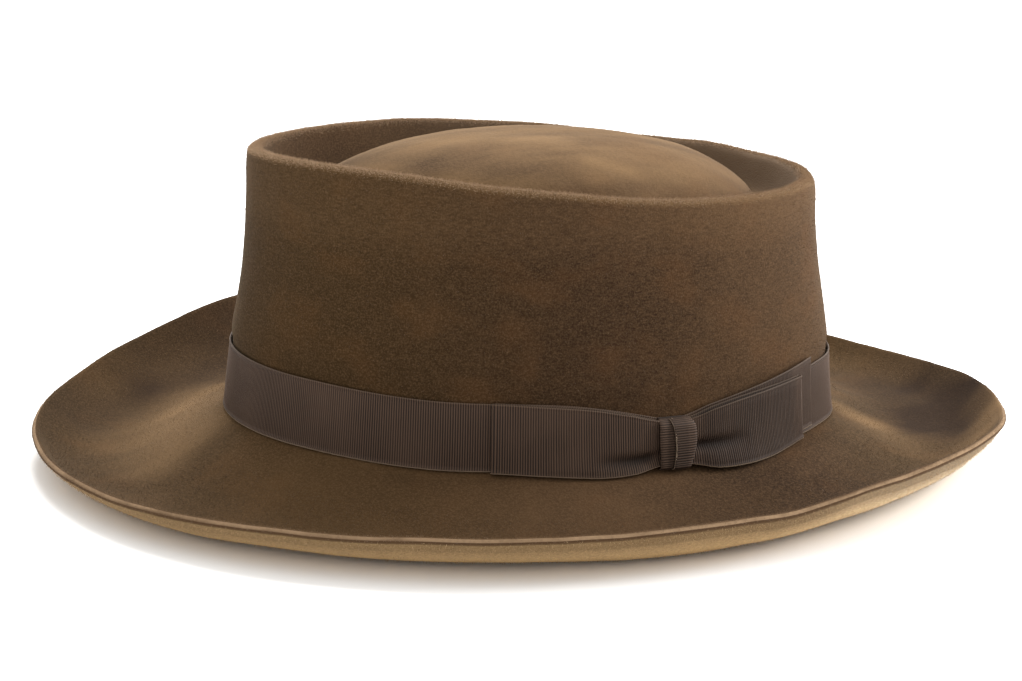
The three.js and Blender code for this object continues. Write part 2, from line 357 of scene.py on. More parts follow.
# %% [markdown]
# Measuring the wall
#
# The other pieces lie on the felt, so the smooth wall is measured before it gets its small
# waves. Heights are counted from the break between brim and crown. The frame's band starts a
# known distance above the break, so the break is read from the band's lower edge: its lowest
# point in each section round the crown.

# %% Measuring: the lower edge of the frame's band
MIDDLE = Vector((0, 3.4 * MM, 0))
BAND_LOW, BAND_HIGH = 0.8 * MM, 22.3 * MM
FULL = 2 * math.pi
HALF_SECTION = math.radians(3)
SECTION_GAP = math.radians(1.5)


def lower_edge(node):
    """The lowest point of each section of a node round the crown, as (angle, height)."""
    places = []
    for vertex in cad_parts[node].data.vertices:
        around = vertex.co - MIDDLE
        angle = (math.atan2(around.y, around.x) + HALF_SECTION) % FULL - HALF_SECTION
        places.append((angle, vertex.co.z))
    sections, low, last = [], None, -1
    for angle, height in sorted(places):
        if angle - last > SECTION_GAP:
            sections.append(low)
            low = (angle, height)
        elif height < low[1]:
            low = (angle, height)
        last = angle
    return [section for section in [*sections, low] if section]


BAND_EDGE = lower_edge("band_ribbon")
EDGE_ANGLES = [angle for angle, _ in BAND_EDGE]
print("sections round the band:", len(BAND_EDGE))

# %% [markdown]
# Between the sections the break follows a smooth curve, lowered where the felt has sunk. A ray
# from outside towards the crown's middle then finds the wall at any angle and height.

# %% Measuring: the break and the wall
BREAK_RADIUS = 96 * MM
OUTSIDE = 0.13  # in m from the middle, where the rays start


def cubic(a, b, c, d, t):
    """Between b and c, on a smooth curve through all four."""
    return b + 0.5 * t * (c - a + t * (2 * a - 5 * b + 4 * c - d + t * (3 * (b - c) + d - a)))


def break_height(angle):
    """Height of the break at an angle round the crown."""
    angle %= FULL
    count = len(BAND_EDGE)
    above = bisect.bisect_right(EDGE_ANGLES, angle)
    four = [BAND_EDGE[(above + k) % count] for k in (-2, -1, 0, 1)]
    start, width = four[1][0], (four[2][0] - four[1][0]) % FULL
    height = cubic(*[height for _, height in four], ((angle - start) % FULL) / width) - BAND_LOW
    across, along = BREAK_RADIUS * math.cos(angle), BREAK_RADIUS * math.sin(angle)
    return height - sunk(MIDDLE + Vector((across, along, height)))


felt_tree = BVHTree.FromPolygons(
    [vertex.co.copy() for vertex in felt.data.vertices],
    [tuple(face.vertices) for face in felt.data.polygons],
)


def wall_hit(angle, height):
    """The wall's point at an angle round the crown and a height over the floor, and its normal."""
    outward = Vector((math.cos(angle), math.sin(angle), 0))
    start = MIDDLE + outward * OUTSIDE + Vector((0, 0, height))
    point, normal, _, _ = felt_tree.ray_cast(start, -outward)
    return point, Vector((normal.x, normal.y, 0)).normalized()


print("the break is", round(break_height(0) / MM, 1), "mm above the floor at the bow")

# %% [markdown]
# Along the ribbon, places are counted as a tailor would: by distance round the wall from the
# hat's left side, negative towards the front. So the wall is walked once all round in small
# steps, and the distance to each step is kept.

# %% Measuring: round the wall
MEASURE_RISE = 12 * MM
LOWEST_MEASURE = 1.2 * MM
STEP = math.radians(0.5)


def round_the_wall():
    """Angles from the left side all the way round, and the distance along the wall to each."""
    angles, distances = [0.0], [0.0]
    last = None
    for k in range(round(FULL / STEP) + 1):
        angle = k * STEP
        point, _ = wall_hit(angle, break_height(angle) + MEASURE_RISE)
        point.z = 0
        if last is not None:
            angles.append(angle)
            distances.append(distances[-1] + (point - last).length)
        last = point
    return angles, distances


ANGLES, DISTANCES = round_the_wall()
ROUND = DISTANCES[-1]


def angle_at(distance):
    """The angle at a distance round the wall."""
    distance %= ROUND
    k = min(max(bisect.bisect_right(DISTANCES, distance), 1), len(DISTANCES) - 1)
    share = (distance - DISTANCES[k - 1]) / (DISTANCES[k] - DISTANCES[k - 1])
    return ANGLES[k - 1] + share * (ANGLES[k] - ANGLES[k - 1])


def on_wall(distance, rise, out):
    """A point off the wall by out. Above the band it stays straight over the band's edge."""
    angle = angle_at(distance)
    foot = break_height(angle)
    point, outward = wall_hit(angle, foot + min(max(rise, LOWEST_MEASURE), BAND_HIGH))
    place = point + outward * out
    place.z = foot + rise
    return place


print("round the wall:", round(ROUND / MM, 1), "mm")

# %% [markdown]
# Felt is soft and handled, so its surface is never quite even. Two passes of a cloud pattern
# do this: a wide one that bends the felt a little with both its faces together, and a fine one
# that lifts the nap into clumps. What the felt stands on stays flat.

# %% Felt: handling waves and clumps of nap
WAVE_SIZE, WAVE_HEIGHT = 34 * MM, 1.1 * MM
CLUMP_SIZE, CLUMP_HEIGHT = 4 * MM, 0.22 * MM


def displace(name, size, height, colour, direction):
    """Moves the felt by a cloud pattern, as much up as down."""
    texture = bpy.data.textures.new(name, "CLOUDS")
    texture.noise_scale = size
    texture.noise_depth = 2
    texture.cloud_type = colour
    finish_with(
        felt, "DISPLACE", texture=texture, strength=height, mid_level=0.5,
        texture_coords="LOCAL", direction=direction,
    )


displace("handling", WAVE_SIZE, WAVE_HEIGHT, "COLOR", "RGB_TO_XYZ")
displace("clumps", CLUMP_SIZE, CLUMP_HEIGHT, "GRAYSCALE", "NORMAL")
rest_on_floor(felt)
take(felt)
bpy.ops.object.shade_smooth()
print("felt:", 2 * len(felt.data.polygons), "triangles at most")

# %% [markdown]
# The ribbon
#
# The band and bow are of one grosgrain ribbon, 21.5 mm wide. Its look comes from the ribs that
# run across it and from the firm woven edges. A bump would leave its outline smooth, so both
# are modelled: four columns of faces to a rib, and a few rows close together at each edge.

# %% Ribbon: its weave
RIB = 0.76 * MM
RIB_HEIGHT = 0.2 * MM
PLY = 0.5 * MM
COLUMNS_A_RIB = 4
EDGE_ROWS = [0, 0.012, 0.03, 0.05, 0.08]
EDGE_RELIEF = [(0, 0.1), (0.14, 0.3), (0.14, 0.3), (0, 0.25), (0, 1)]  # bead in mm, share of ribs


def rows_across(inner):
    """Places across the ribbon, close together at its woven edges."""
    edge = EDGE_ROWS[-1]
    middle = [edge + (1 - 2 * edge) * (k + 1) / (inner + 1) for k in range(inner)]
    return EDGE_ROWS + middle + [1 - place for place in reversed(EDGE_ROWS)]


def relief(column, row, count):
    """How far the weave stands up: a bead along each edge, and ribs between."""
    near = min(row, count - 1 - row)
    bead, share = EDGE_RELIEF[near] if near < len(EDGE_RELIEF) else (0, 1)
    rib = abs(math.cos(math.pi * column / COLUMNS_A_RIB))
    return bead * MM + share * rib * RIB_HEIGHT


# %% [markdown]
# Each length is woven flat as a grid, laid on the hat point by point, ribbed along its own
# normals, and given its thickness. Points that fall together, as where the band's ends meet,
# are merged first, so that no wall is left standing between them.

# %% Ribbon: laying a length
WELD = 0.02 * MM


def lay_ribbon(name, length, across, place, ply=PLY):
    """A ribbon of that length, laid by place(distance along it, share across it)."""
    columns = round(length / RIB) * COLUMNS_A_RIB
    clear_selection()
    bpy.ops.mesh.primitive_grid_add(
        x_subdivisions=columns, y_subdivisions=len(across) - 1, size=1, calc_uvs=True
    )
    piece = bpy.context.object
    piece.name = piece.data.name = name
    mesh = piece.data
    grid = [
        (round((v.co.x + 0.5) * columns), round((v.co.y + 0.5) * (len(across) - 1)))
        for v in mesh.vertices
    ]
    for loop, uv in zip(mesh.loops, mesh.uv_layers[0].data):
        column, row = grid[loop.vertex_index]
        uv.uv = (column / COLUMNS_A_RIB, across[row])
    for vertex, (column, row) in zip(mesh.vertices, grid):
        vertex.co = place(length * column / columns, across[row])
    mesh.update()
    normals = [v.normal.copy() for v in mesh.vertices]
    for vertex, normal, (column, row) in zip(mesh.vertices, normals, grid):
        vertex.co += normal * relief(column, row, len(across))
    take(piece)
    bpy.ops.object.mode_set(mode="EDIT")
    bpy.ops.mesh.select_all(action="SELECT")
    bpy.ops.mesh.remove_doubles(threshold=WELD)
    bpy.ops.object.mode_set(mode="OBJECT")
    finish_with(piece, "SOLIDIFY", thickness=ply, offset=-1)
    bpy.ops.object.shade_smooth()
    print(name, "length", round(length / MM), "mm,", 2 * len(mesh.polygons), "triangles")
    return piece


# %% [markdown]
# The band goes once round the crown, just above the break, and its ends meet under the bow.
# The knot gathers the ribbon, so the band's upper edge dips there.

# %% Band
BOW_MIDDLE = 2.2 * MM
BAND_OUT = 1.0 * MM
GATHER, GATHER_REACH, GATHER_SHAPE = 7.3 * MM, 24 * MM, 1.25


def band_place(along, across):
    distance = BOW_MIDDLE + along
    near = min(along, ROUND - along)
    top = BAND_HIGH - GATHER * math.exp(-((near / GATHER_REACH) ** GATHER_SHAPE))
    return on_wall(distance, BAND_LOW + (top - BAND_LOW) * across, BAND_OUT)


band = lay_ribbon("band", ROUND, rows_across(2), band_place)

# %% [markdown]
# The bow is flat. A layer of ribbon lies under it towards the back, then a loop goes each way
# from the knot: out along the wall, round its fold, and back. The tables give the form of each
# layer row by row, in mm, and smooth curves run through the rows.

# %% Bow: its tables
# distance from the knot, lower edge, upper edge, how far it stands off the wall, flare at its foot
FRONT_LOOP = [
    (1, 1.6, 15.0, 2.9, 0), (7, 0.8, 15.8, 3.2, 0.4), (14, -0.5, 17.6, 3.6, 1.3),
    (25, -1.2, 19.6, 3.5, 1.5), (41, -0.4, 21.0, 3.0, 0.9), (55.5, 0.5, 22.1, 2.55, 0),
]
REAR_LOOP = [
    (1, 1.6, 15.0, 3.6, 0), (7, 0.7, 15.8, 3.9, 0.4), (14, -0.7, 17.8, 4.4, 1.8),
    (24, -1.0, 19.4, 4.4, 2.4), (36, -0.8, 20.4, 4.0, 1.6), (46, -0.1, 20.9, 3.5, 0.6),
    (54.6, 0.5, 21.2, 3.3, 0),
]
# distance from the knot, lower edge, upper edge
UNDER_LAYER = [(1, 2.2, 15.2), (14, 1.8, 18.6), (30, 1.6, 21.2), (48, 1.9, 23.6), (65, 2.3, 25.2)]


def read(table, at):
    """A table's row at a place between its rows, on smooth curves through them."""
    keys = [row[0] for row in table]
    k = min(max(bisect.bisect_right(keys, at) - 1, 0), len(table) - 2)
    t = (at - keys[k]) / (keys[k + 1] - keys[k])
    four = [table[min(max(n, 0), len(table) - 1)] for n in (k - 1, k, k + 1, k + 2)]
    return [cubic(*column, t) for column in list(zip(*four))[1:]]


print("the front loop reaches", FRONT_LOOP[-1][0], "mm, the rear loop", REAR_LOOP[-1][0], "mm")

# %% [markdown]
# The under layer shows only above and behind the rear loop, so it is a plain flat strip.

# %% Bow: under layer
UNDER_OUT = 1.6 * MM
UNDER_LENGTH = 64 * MM


def under_place(along, across):
    at = UNDER_LAYER[0][0] + along / MM
    low, high = read(UNDER_LAYER, at)
    return on_wall(BOW_MIDDLE + at * MM, (low + (high - low) * across) * MM, UNDER_OUT)


under_layer = lay_ribbon("bow_under", UNDER_LENGTH, rows_across(4), under_place)

# %% [markdown]
# A loop is one length of ribbon in three stretches: the outer layer, the half turn of the fold,
# and the inner layer back to the knot. The knot presses a pleat into the outer layer, which is
# deepest near it and fades out along the loop. The layers keep a little air between them.

# %% Bow: loops
FRONT_PLEAT, REAR_PLEAT = 0.22, 0.4  # where it lies, as a share of the ribbon's width
PLEAT_DEPTH, PLEAT_WIDTH = 1.5, 0.1  # in mm, and as a share of the ribbon's width
PLEAT_PEAK, PLEAT_REACH = 9, 18  # in mm from the knot
FOLD_REACH = 1.6  # in mm past the last row
LAYER_LOW = 0.4  # in mm above the break
LAYER_AIR = 0.1  # in mm
FRONT_INNER, REAR_INNER = 1.15, 1.8  # in mm off the wall


def lay_loop(name, table, side, inner, pleat_at):
    """A loop to the front (side -1) or the back (side 1), with its inner layer at inner."""
    start, end = table[0][0], table[-1][0]
    reach = end - start
    last_out = table[-1][3]
    half = (last_out - inner) / 2
    bend = math.pi * (half + FOLD_REACH) / 2
    length = 2 * reach + bend

    def place(travelled, across):
        t = travelled / MM if side > 0 else length - travelled / MM
        if t < reach:
            low, high, out, flare = read(table, start + t)
            near = max(0, 1 - ((start + t - PLEAT_PEAK) / PLEAT_REACH) ** 2)
            pleat = PLEAT_DEPTH * near * math.exp(-(((across - pleat_at) / PLEAT_WIDTH) ** 2))
            out += flare * (1 - across) ** 2 - pleat
            out = max(out, inner + 2 * PLY / MM + LAYER_AIR)
            along = start + t
        elif t < reach + bend:
            turn = math.pi * (t - reach) / bend
            low, high, _, _ = read(table, end)
            along = end + FOLD_REACH * math.sin(turn)
            out = inner + half * (1 + math.cos(turn))
        else:
            along = max(end - (t - reach - bend), start)
            low, high, _, _ = read(table, along)
            low = max(low, LAYER_LOW)
            out = inner
        distance = BOW_MIDDLE + side * along * MM
        return on_wall(distance, (low + (high - low) * across) * MM, out * MM)

    return lay_ribbon(name, length * MM, rows_across(14), place)


front_loop = lay_loop("bow_front", FRONT_LOOP, -1, FRONT_INNER, FRONT_PLEAT)
rear_loop = lay_loop("bow_rear", REAR_LOOP, 1, REAR_INNER, REAR_PLEAT)

# %% [markdown]
# The knot is the same ribbon, rolled to about half its width and wrapped round the bow. One
# woven edge shows on it, where the roll closes over itself, and its ribs lie level. Its path
# climbs over the bow, and across it the ribbon is rolled: under, round behind, and over.

# %% Knot: its tables
# height above the break, how far off the wall, reach to the front, reach to the back, in mm
KNOT = [
    (0.1, 4.2, 5.1, 3.8), (1.2, 5.4, 5.2, 4.6), (5.5, 5.8, 5.4, 6.0), (10.5, 5.8, 5.6, 6.6),
    (13.9, 5.4, 5.4, 6.2), (15.2, 4.0, 5.2, 5.8), (15.5, 2.6, 5.0, 5.6), (14.8, 1.6, 5.0, 5.4),
]
# the roll seen from its end: a share of the knot's reach, and the height off its path in mm
ROLL = [
    (0.0, -0.75), (-0.4, -0.7), (-0.75, -0.62), (-0.95, -0.68), (-1.0, -0.95), (-0.94, -1.35),
    (-0.6, -1.6), (0.6, -1.6), (0.94, -1.3), (1.0, -0.8), (0.96, -0.28), (0.8, -0.05),
    (0.4, 0), (0.1, 0.03), (-0.1, 0.05), (-0.2, 0.06), (-0.24, 0.03),
]
knot_steps = [0.0]
for (rise, out, _, _), (next_rise, next_out, _, _) in zip(KNOT, KNOT[1:]):
    knot_steps.append(knot_steps[-1] + math.hypot(next_rise - rise, next_out - out))
KNOT_PATH = [(step, *row) for step, row in zip(knot_steps, KNOT)]
ROLL_PATH = [(k / (len(ROLL) - 1), *point) for k, point in enumerate(ROLL)]
print("the wrap is", round(knot_steps[-1], 1), "mm long")

# %% [markdown]
# The woven edge that shows runs in a slight curve over the knot and not straight, so the last
# part of the ribbon's width is moved a little, most at the middle of the knot's height.

# %% Knot
KNOT_PLY = 0.42 * MM
KNOT_HEIGHT = 15  # in mm
EDGE_BOW, EDGE_PART = 0.18, 0.2  # of the knot's reach, and of the ribbon's width


def knot_place(along, across):
    rise, out, ahead, behind = read(KNOT_PATH, along / MM)
    x, lift = read(ROLL_PATH, across)
    bowed = EDGE_BOW * math.sin(math.pi * min(max(rise / KNOT_HEIGHT, 0), 1)) - EDGE_BOW / 2
    x += bowed * max(0, across - (1 - EDGE_PART)) / EDGE_PART
    aside = x * (behind if x > 0 else ahead)
    return on_wall(BOW_MIDDLE + aside * MM, rise * MM, (out + lift) * MM)


knot = lay_ribbon(
    "bow_knot_wrap", knot_steps[-1] * MM, rows_across(26), knot_place, ply=KNOT_PLY
)

# %% [markdown]
# Felt as a material
#
# Velour felt has a short raised nap. It looks darker or paler as the nap lies, in soft patches and
# brushed streaks, with a fine grain of single hairs over them. Strokes and places of painted light
# and painted shade go over that. An image would need seams, so all of it is worked out on the
# object's own coordinates. First come its colours, as light values from 0 to 1: dark and pale nap,
# the tints of the dye, and the painted light and shade.

# %% Felt material: colours
FELT_DARK = (0.0215, 0.0112, 0.0052, 1)
FELT_PAINTED_SHADE = (0.015, 0.0068, 0.0022, 1)
FELT_LIGHT = (0.050, 0.0265, 0.0118, 1)
FELT_SIDE = (0.096, 0.054, 0.026, 1)
FELT_RED = (0.088, 0.039, 0.014, 1)
FELT_OLIVE = (0.045, 0.026, 0.004, 1)
FELT_PAINTED_LIGHT = (0.142, 0.084, 0.038, 1)
FELT_CREASE_LIT = (0.125, 0.086, 0.056, 1)
FELT_TIP = (0.115, 0.068, 0.035, 1)
FELT_EDGE_HIGHLIGHT = (0.22, 0.145, 0.085, 1)
FELT_CUT = (0.062, 0.034, 0.017, 1)
FELT_UNDER = (0.5, 0.335, 0.165, 1)
FELT_UNDER_LIT = (0.78, 0.62, 0.42, 1)
felt_material, board, shader = new_material(
    "felt", Roughness=1, Specular_IOR_Level=0.1,
    Sheen_Weight=0.06, Sheen_Roughness=0.2, Sheen_Tint=(1, 0.74, 0.44, 1),
)
print("pale nap is", round(FELT_LIGHT[0] / FELT_DARK[0], 1), "times as light as dark nap")

# %% [markdown]
# A mask says where on the hat a tone belongs. It is made of the place and of the way that the
# felt faces. The ovals are 1 at the brim's edge and at the crown's wall, and less inside them.

# %% Felt material: places on the hat
CROWN_HALF_WIDTH, CROWN_HALF_LENGTH = 82.5 * MM, 95.5 * MM

place = board.node("ShaderNodeTexCoord", out=3)
facing = board.node("ShaderNodeTexCoord", out=1)
across, lengthwise, height = place.part(0), place.part(1), place.part(2)
up = facing.part(2)
outward = (across * facing.part(0) + lengthwise * facing.part(1)) / (
    (across ** 2 + lengthwise ** 2) ** 0.5 + 0.001
)
inward = 0 - outward
oval = (across / BRIM_HALF_WIDTH) ** 2 + (lengthwise / BRIM_HALF_LENGTH) ** 2
crown = (across / CROWN_HALF_WIDTH) ** 2 + ((lengthwise - MIDDLE.y) / CROWN_HALF_LENGTH) ** 2
topside = up.between(0.35, 0.6) * (1 - height.between(0.03, 0.04))
backward = lengthwise.between(-0.05, 0.1)
hollow = height.between(0.05, 0.06) * inward.between(0.2, 0.6)
rim = crown.between(0.8, 0.9) * height.between(0.078, 0.086) * up.between(0.15, 0.8)
dome = (1 - crown.between(0.72, 0.86)) * height.between(0.07, 0.08) * up.between(0.4, 0.97)
dome = dome * (1 - facing.part(0).between(0.42, 0.74) * 0.75)
wall = height.between(0.02, 0.04) * (1 - hollow) * (1 - dome)
print("nodes for the places:", len(board.tree.nodes))

# %% [markdown]
# The nap itself is noise at several sizes. Coordinates are in metres, so a scale of 30 gives
# patches about 33 mm wide. A stretch draws the pattern out into streaks, as brushing does.

# %% Felt material: noises
patches = place.noise(26, 2)
brushed = place.noise(90, 3, stretch=(1, 1, 1.6))
grain = place.noise(1900, 2)
hairs = place.noise(900, 3, stretch=(1, 1, 2.2))
streaks = place.noise(34, 3, stretch=(2.4, 0.6, 1))
ripples = place.noise(430, 2, stretch=(1, 1, 3))
nap = patches * 0.4 + brushed * 0.2 + hairs * 0.4
print("nodes with the noises:", len(board.tree.nodes))

# %% [markdown]
# Streaks of painted light and painted shade lie over the felt, where the nap catches the back
# light or falls into shade. Each stroke is a line over the hat, seen from above, with a width and
# a strength that changes from its start to its end. On the dome, strokes only weaken or strengthen
# the painted sheen that is there already.

# %% Felt material: strokes of painted light and shade
# from x, from y, to x, to y, half width in mm, strength at the start, strength at the end
PAINTED_LIGHT_STROKES = [
    (-78, -86, -42, -119, 21, 0.45, 0.42), (-50, -94, -18, -122, 20, 0.4, 0.36),
    (-17, -104, -6, -126, 13, 0.3, 0.24), (-84, -78, -62, -102, 8, 0.3, 0.3),
    (-122, -68, -96, -116, 9, 0.06, 0.06), (33, 101, 46, 107, 9, 0.42, 0.34),
    (46, 107, 74, 106, 10, 0.34, 0.1), (-45, 153, -8, 160, 12, 0.2, 0.2),
    (56, 157, 72, 145, 14, 0.4, 0.45), (72, 145, 83, 129, 12, 0.45, 0.45),
    (83, 129, 93, 103, 10, 0.36, 0.05),
]
PAINTED_SHADE_STROKES = [
    (-114, -64, -98, -98, 15, 0.55, 0.5), (-98, -98, -66, -131, 13, 0.5, 0.3),
    (-133, -54, -116, -94, 11, 0.6, 0.4), (-6, 146, 44, 136, 25, 0.7, 0.75),
    (44, 136, 60, 131, 17, 0.75, 0.6), (10, 152, 40, 154, 10, 0.4, 0.5),
    (40, 154, 62, 141, 9, 0.5, 0.4),
]
DOME_LESS_SHEEN = [(24, -46, 47, -10, 9, 0.5, 0.4), (-10, -61, 18, -49, 9, 0.4, 0.3)]
DOME_MORE_SHEEN = [(2, -34, 20, -2, 10, 0.3, 0.35), (39, 2, 44, 13, 5, 0.4, 0.3)]


def stroke(from_x, from_y, to_x, to_y, half_width, start, end):
    """A soft mask along a line over the felt, with ragged sides."""
    x, y = across - from_x * MM, lengthwise - from_y * MM
    run_x, run_y = (to_x - from_x) * MM, (to_y - from_y) * MM
    share = ((x * run_x + y * run_y) / (run_x ** 2 + run_y ** 2)).clamped()
    off = ((x - share * run_x) ** 2 + (y - share * run_y) ** 2) ** 0.5
    ragged = off / (half_width * MM) + (streaks - 0.5) * 0.7
    return (1 - ragged.between(0, 1.3)) * (share * (end - start) + start)


def strokes(lines):
    return sum(stroke(*line) for line in lines).clamped()


lit_strokes = strokes(PAINTED_LIGHT_STROKES) * topside
shaded_strokes = strokes(PAINTED_SHADE_STROKES) * topside
dome_less_sheen, dome_more_sheen = strokes(DOME_LESS_SHEEN), strokes(DOME_MORE_SHEEN)
print("strokes:", len(PAINTED_LIGHT_STROKES + PAINTED_SHADE_STROKES + DOME_LESS_SHEEN + DOME_MORE_SHEEN))

# %% [markdown]
# The tones are laid over each other like washes. The nap comes first. The front of the wall is
# darker, as painted shade, and its back and top are paler, as painted light. Red tints show in
# patches, the brim in front of the bow is a little paler, and the front of the hat and the back of
# its brim lean to olive.

# %% Felt material: wall and brim
tone = nap.between(0.34, 0.70).mixed(FELT_DARK, FELT_LIGHT)
# painted shade: the front of the wall darker
tone = (wall * (1 - lengthwise.between(-0.03, 0.07)) * 0.72).mixed(tone, FELT_DARK)
# painted light: the back and the top of the wall paler, over fine ripples of the nap
side = backward * 0.45 + height.between(0.074, 0.09) * 0.3 + (ripples - 0.5) * 0.8
tone = (wall * side).clamped().mixed(tone, FELT_SIDE)
tinted = place.noise(48, 2, stretch=(1, 1, 1.5)).between(0.48, 0.72)
tone = (tinted * (1 - hollow) * 0.26).mixed(tone, FELT_RED)
near_brim = topside * across.between(-0.01, 0.06) * (1 - lengthwise.between(-0.02, 0.045))
tone = (near_brim * (patches * 0.45 + 0.12)).mixed(tone, FELT_SIDE)
forward = 1 - lengthwise.between(-0.11, -0.01) + topside * lengthwise.between(0.05, 0.1)
tone = (forward * (1 - hollow) * 0.3).mixed(tone, FELT_OLIVE)
print("nodes with wall and brim:", len(board.tree.nodes))

# %% [markdown]
# The dome and the crown's rim are paler, a painted sheen and highlight where the felt faces up,
# and the crease round the dome is paler and greyer towards the back and top, as painted light. The
# strokes of painted light and painted shade go over that, and last the tips of raised hairs, a
# fine grain that is weaker in the painted shade strokes.

# %% Felt material: dome, crease and strokes
deep = height.between(0.058, 0.086)
# painted light in the crease round the dome, paler towards the back and top
tone = (hollow * (backward * 0.85 + 0.07) * (deep * 0.8 + 0.2)).mixed(tone, FELT_CREASE_LIT)
# painted sheen and highlight: the dome and the crown's rim paler, less or more along the dome's
# strokes
painted_sheen = dome * ((streaks.between(0.2, 0.75) * 0.6 + 0.3) * (1 - dome_less_sheen) + dome_more_sheen)
painted_sheen = painted_sheen + rim * (1 - hollow) * 0.6
tone = (painted_sheen * (hairs * 0.5 + 0.6)).clamped().mixed(tone, FELT_PAINTED_LIGHT)
# painted shade along these strokes
tone = shaded_strokes.mixed(tone, FELT_PAINTED_SHADE)
# painted light along these strokes
tone = (lit_strokes * (hairs * 0.7 + 0.65)).clamped().mixed(tone, FELT_PAINTED_LIGHT)
raised = ((grain - 0.42) * 1.3 + (hairs - 0.5) * 0.5) * (1 - shaded_strokes * 0.7)
tone = raised.clamped().mixed(tone, FELT_TIP)
print("nodes with the dome:", len(board.tree.nodes))

# %% [markdown]
# Under the brim the photograph shows a pale gold near the edge, palest at the back left, where
# light comes from below. This scene has no light there, so the felt has the tone itself, as
# painted light. The cut edge is dark, and its upper corner has a painted highlight.

# %% Felt material: underside and cut edge
down = 0 - up
# painted light: the underside near the edge is pale gold, palest at the back left
under = oval.between(0.45, 0.86) ** 1.5 * down.between(-0.2, 0.95)
under = under * (1 - oval.between(0.88, 0.985) * 0.55)
lit = lengthwise.between(-0.01, 0.11) * across.between(-0.02, 0.07) * (hairs + 0.4)
lit = lit.clamped().mixed(FELT_UNDER, FELT_UNDER_LIT)
tone = (under * ((hairs + grain) * 0.9 + 0.1)).clamped().mixed(tone, lit)
cut = oval.between(0.966, 0.978) * outward.between(0.1, 0.4)
tone = (cut * (1 - down.between(0.3, 0.98)) * 0.8).mixed(tone, FELT_CUT)
# painted highlight along the upper corner of the cut edge
corner = cut * up.between(0.55, 0.72) * (1 - up.between(0.78, 0.9))
tone = (corner * (brushed * 1.4 + hairs * 0.6 - 0.1)).clamped().mixed(tone, FELT_EDGE_HIGHLIGHT)
print("nodes with the underside:", len(board.tree.nodes))

# %% [markdown]
# The same grain and hairs also roughen the surface a little as a bump, because a single hair
# of the felt is far too fine to model all over.

# %% Felt material: bump
FELT_BUMP = {"Strength": 0.5, "Distance": 0.0004}

bumps = board.node("ShaderNodeBump", {}, {**FELT_BUMP, "Height": grain * 0.5 + hairs * 0.5})
plug(board, shader, Base_Color=tone, Normal=bumps)
felt.data.materials.append(felt_material)

# %% [markdown]
# Nap
#
# A bump can't raise hairs over an edge, and the pale fuzz along the crown's rim and the brim's
# edge is what tells velour from card. So short hairs are real there, and sparser ones lie on
# the rest. One hair is a three-sided spike. A geometry nodes modifier scatters it over a copy
# of the felt, as thick as a painted attribute says, and is applied, so that a mesh is left.

# %% Nap: one hair, scattered
HAIR_RADIUS = 0.045 * MM
HAIR_SIZES = (0.5, 1.2)
STRAY_FROM, STRAY_TO = (-0.9, -0.9, -1.1), (0.9, 0.9, 0.7)


def scatter(name, seed, length, density, material):
    """A nodes group that scatters hairs over a mesh, by its attribute named nap."""
    group = bpy.data.node_groups.new(name, "GeometryNodeTree")
    group.interface.new_socket(name="Mesh", in_out="INPUT", socket_type="NodeSocketGeometry")
    group.interface.new_socket(name="Hairs", in_out="OUTPUT", socket_type="NodeSocketGeometry")
    start = Wire(group)
    surface = start.node("NodeGroupInput")
    painted = start.node(
        "GeometryNodeInputNamedAttribute", {"data_type": "FLOAT"}, {"Name": "nap"}
    )
    spots = start.node(
        "GeometryNodeDistributePointsOnFaces", {},
        {"Mesh": surface, "Density": painted * density, "Seed": seed},
    )
    normal = Wire(group, spots.socket.node.outputs["Normal"])
    stray = start.node(
        "FunctionNodeRandomValue", {"data_type": "FLOAT_VECTOR"},
        {0: STRAY_FROM, 1: STRAY_TO, "Seed": seed},
    )
    lean = start.node("ShaderNodeVectorMath", {"operation": "ADD"}, {0: normal, 1: stray})
    turned = start.node("FunctionNodeAlignRotationToVector", {"axis": "Z"}, {"Vector": lean})
    size = start.node(
        "FunctionNodeRandomValue", {"data_type": "FLOAT"},
        {2: HAIR_SIZES[0], 3: HAIR_SIZES[1], "Seed": seed}, out=1,
    )
    hair = start.node(
        "GeometryNodeMeshCone", {"fill_type": "NGON"},
        {"Vertices": 3, "Radius Top": 0.0, "Radius Bottom": HAIR_RADIUS, "Depth": length},
    )
    hairs = start.node(
        "GeometryNodeInstanceOnPoints", {},
        {"Points": spots, "Instance": hair, "Rotation": turned, "Scale": size},
    )
    real = start.node("GeometryNodeRealizeInstances", {}, {"Geometry": hairs})
    dyed = start.node("GeometryNodeSetMaterial", {}, {"Geometry": real, "Material": material})
    start.node("NodeGroupOutput", {}, {"Hairs": dyed})
    return group


print("a hair is", round(2 * HAIR_RADIUS / MM, 2), "mm thick at its root")

# %% [markdown]
# A nap is grown to a number of hairs and not to a density, so that each piece stays small
# enough to keep. The density is that number over the painted area.

# %% Nap: growing it
HAIR_LIMIT = 45000
FACES_A_HAIR = 4


